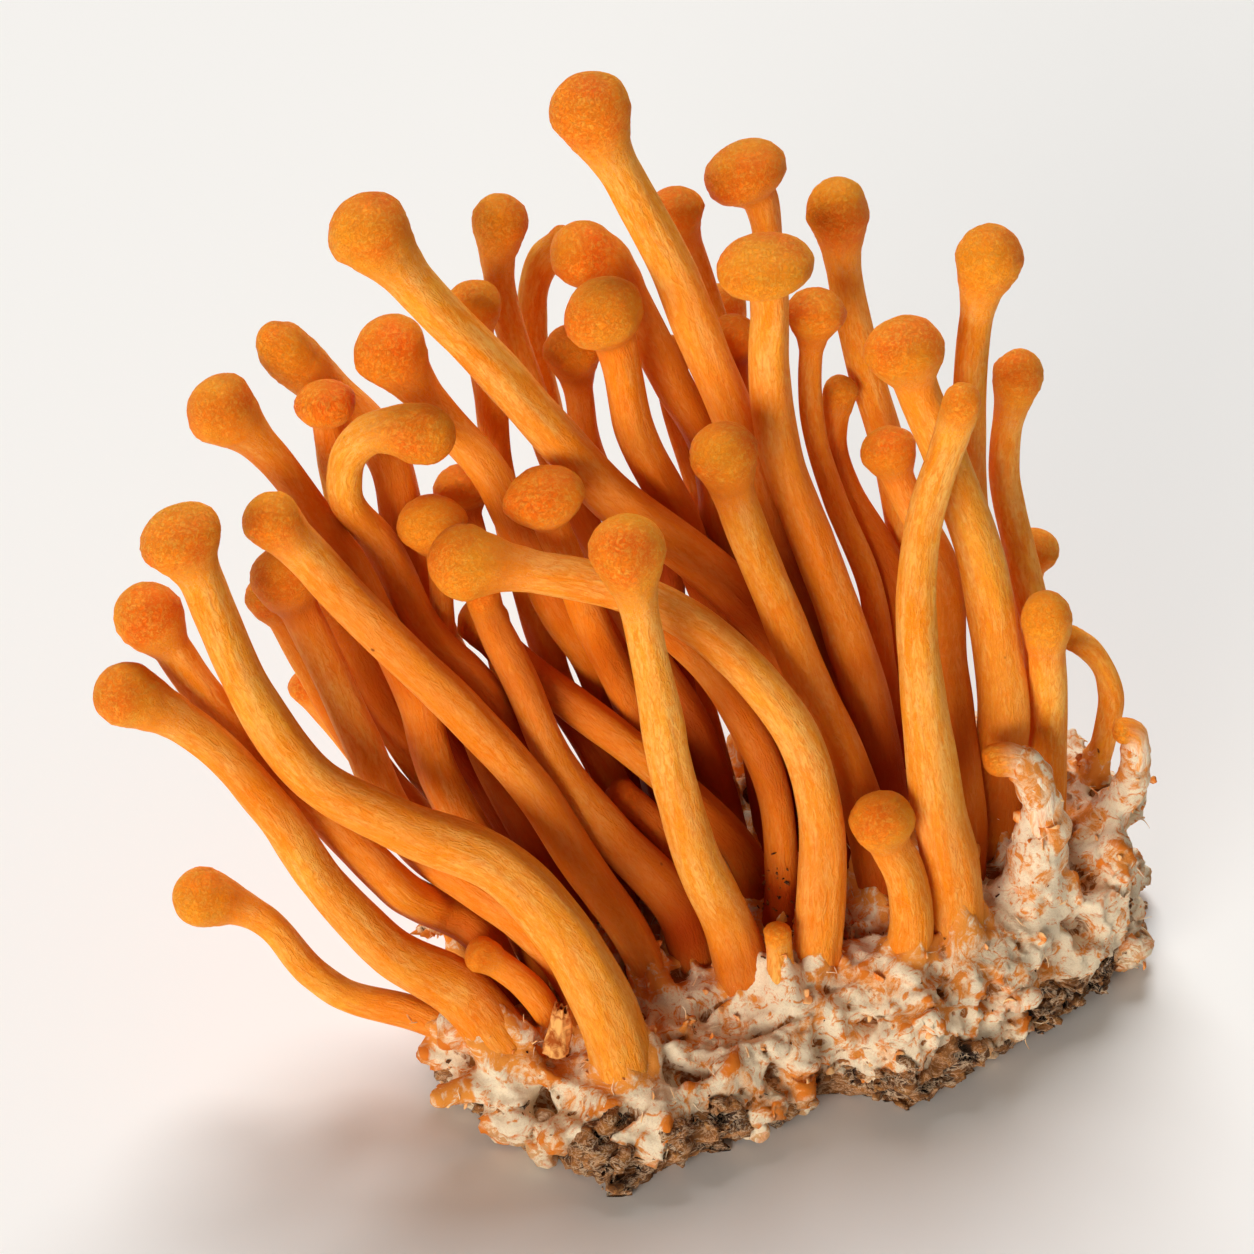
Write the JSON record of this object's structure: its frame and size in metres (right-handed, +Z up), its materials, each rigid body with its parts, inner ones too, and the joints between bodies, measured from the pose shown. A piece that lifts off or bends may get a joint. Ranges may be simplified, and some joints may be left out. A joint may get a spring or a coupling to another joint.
{
  "type": "cordyceps flower bunch",
  "caption": "Clump of slender orange cordyceps stalks with rounded heads, rising and leaning from one torn block of white mycelium with a dark grain crust beneath.",
  "frame": {"origin": "on the flat cut underside, below the middle of the mycelium block", "axes": "+Z up out of the block, -Y towards the side where the lowest and widest stalks stand, +X towards the end of the block away from the longest leaning stalks"},
  "size_m": [0.0784, 0.0512, 0.0729],
  "materials": {
    "fruiting_body": "matte orange flesh with fine lengthwise fibres, redder grainy heads",
    "pale_stub": "matte cream to pale orange, overgrown with white mycelium",
    "mycelium": "matte fibrous cream white with orange and brown patches",
    "substrate": "dark brown crumbly grain, slightly moist"
  },
  "bodies": {
    "root": {"stalk_tall_round": "fruiting_body", "stalk_tall_left": "fruiting_body", "stalk_slim_left": "fruiting_body", "stalk_pale_crook": "fruiting_body", "stalk_nodding": "fruiting_body", "stalk_back_round": "fruiting_body", "stalk_back_cap": "fruiting_body", "stalk_back_right": "fruiting_body", "stalk_broad_cap": "fruiting_body", "stalk_middle_cap": "fruiting_body", "stalk_shaded_head": "fruiting_body", "stalk_half_hidden": "fruiting_body", "stalk_thin_upright": "fruiting_body", "stalk_right_arched": "fruiting_body", "stalk_dark_head": "fruiting_body", "stalk_claw": "fruiting_body", "stalk_right_upright": "fruiting_body", "stalk_right_back": "fruiting_body", "stalk_back_short": "fruiting_body", "stalk_plain_tip": "fruiting_body", "stalk_short_right": "fruiting_body", "stalk_right_curl": "pale_stub", "stalk_edge_curl": "pale_stub", "stalk_edge_arch": "fruiting_body", "stalk_front_round": "fruiting_body", "stalk_front_tall_head": "fruiting_body", "stalk_great_arc": "fruiting_body", "stalk_inner_arc": "fruiting_body", "stalk_yellow_head": "fruiting_body", "stalk_red_head": "fruiting_body", "stalk_red_behind": "fruiting_body", "stalk_under_arc": "fruiting_body", "stalk_hooked": "fruiting_body", "stalk_flat_cap": "fruiting_body", "stalk_big_dark_head": "fruiting_body", "stalk_long_club": "fruiting_body", "stalk_left_round": "fruiting_body", "stalk_long_straight": "fruiting_body", "stalk_brown_head": "fruiting_body", "stalk_left_behind": "fruiting_body", "stalk_left_hidden": "fruiting_body", "stalk_left_great_cap": "fruiting_body", "stalk_left_second": "fruiting_body", "stalk_left_lowest": "fruiting_body", "stalk_trailing_thin": "fruiting_body", "stalk_thin_point": "fruiting_body", "bud_left_edge": "fruiting_body", "bud_between_left": "fruiting_body", "stalk_diagonal": "fruiting_body", "bud_inner_club": "fruiting_body", "bud_stubby": "fruiting_body", "bud_front_stub": "pale_stub", "stalk_between_heads": "fruiting_body", "stalk_middle_dark": "fruiting_body", "stalk_rear": "fruiting_body", "stalk_inner_left": "fruiting_body", "stalk_inner_middle": "fruiting_body", "stalk_inner_right": "fruiting_body", "mycelium_mat": "mycelium", "substrate_crust": "substrate"}
  },
  "joints": []
}
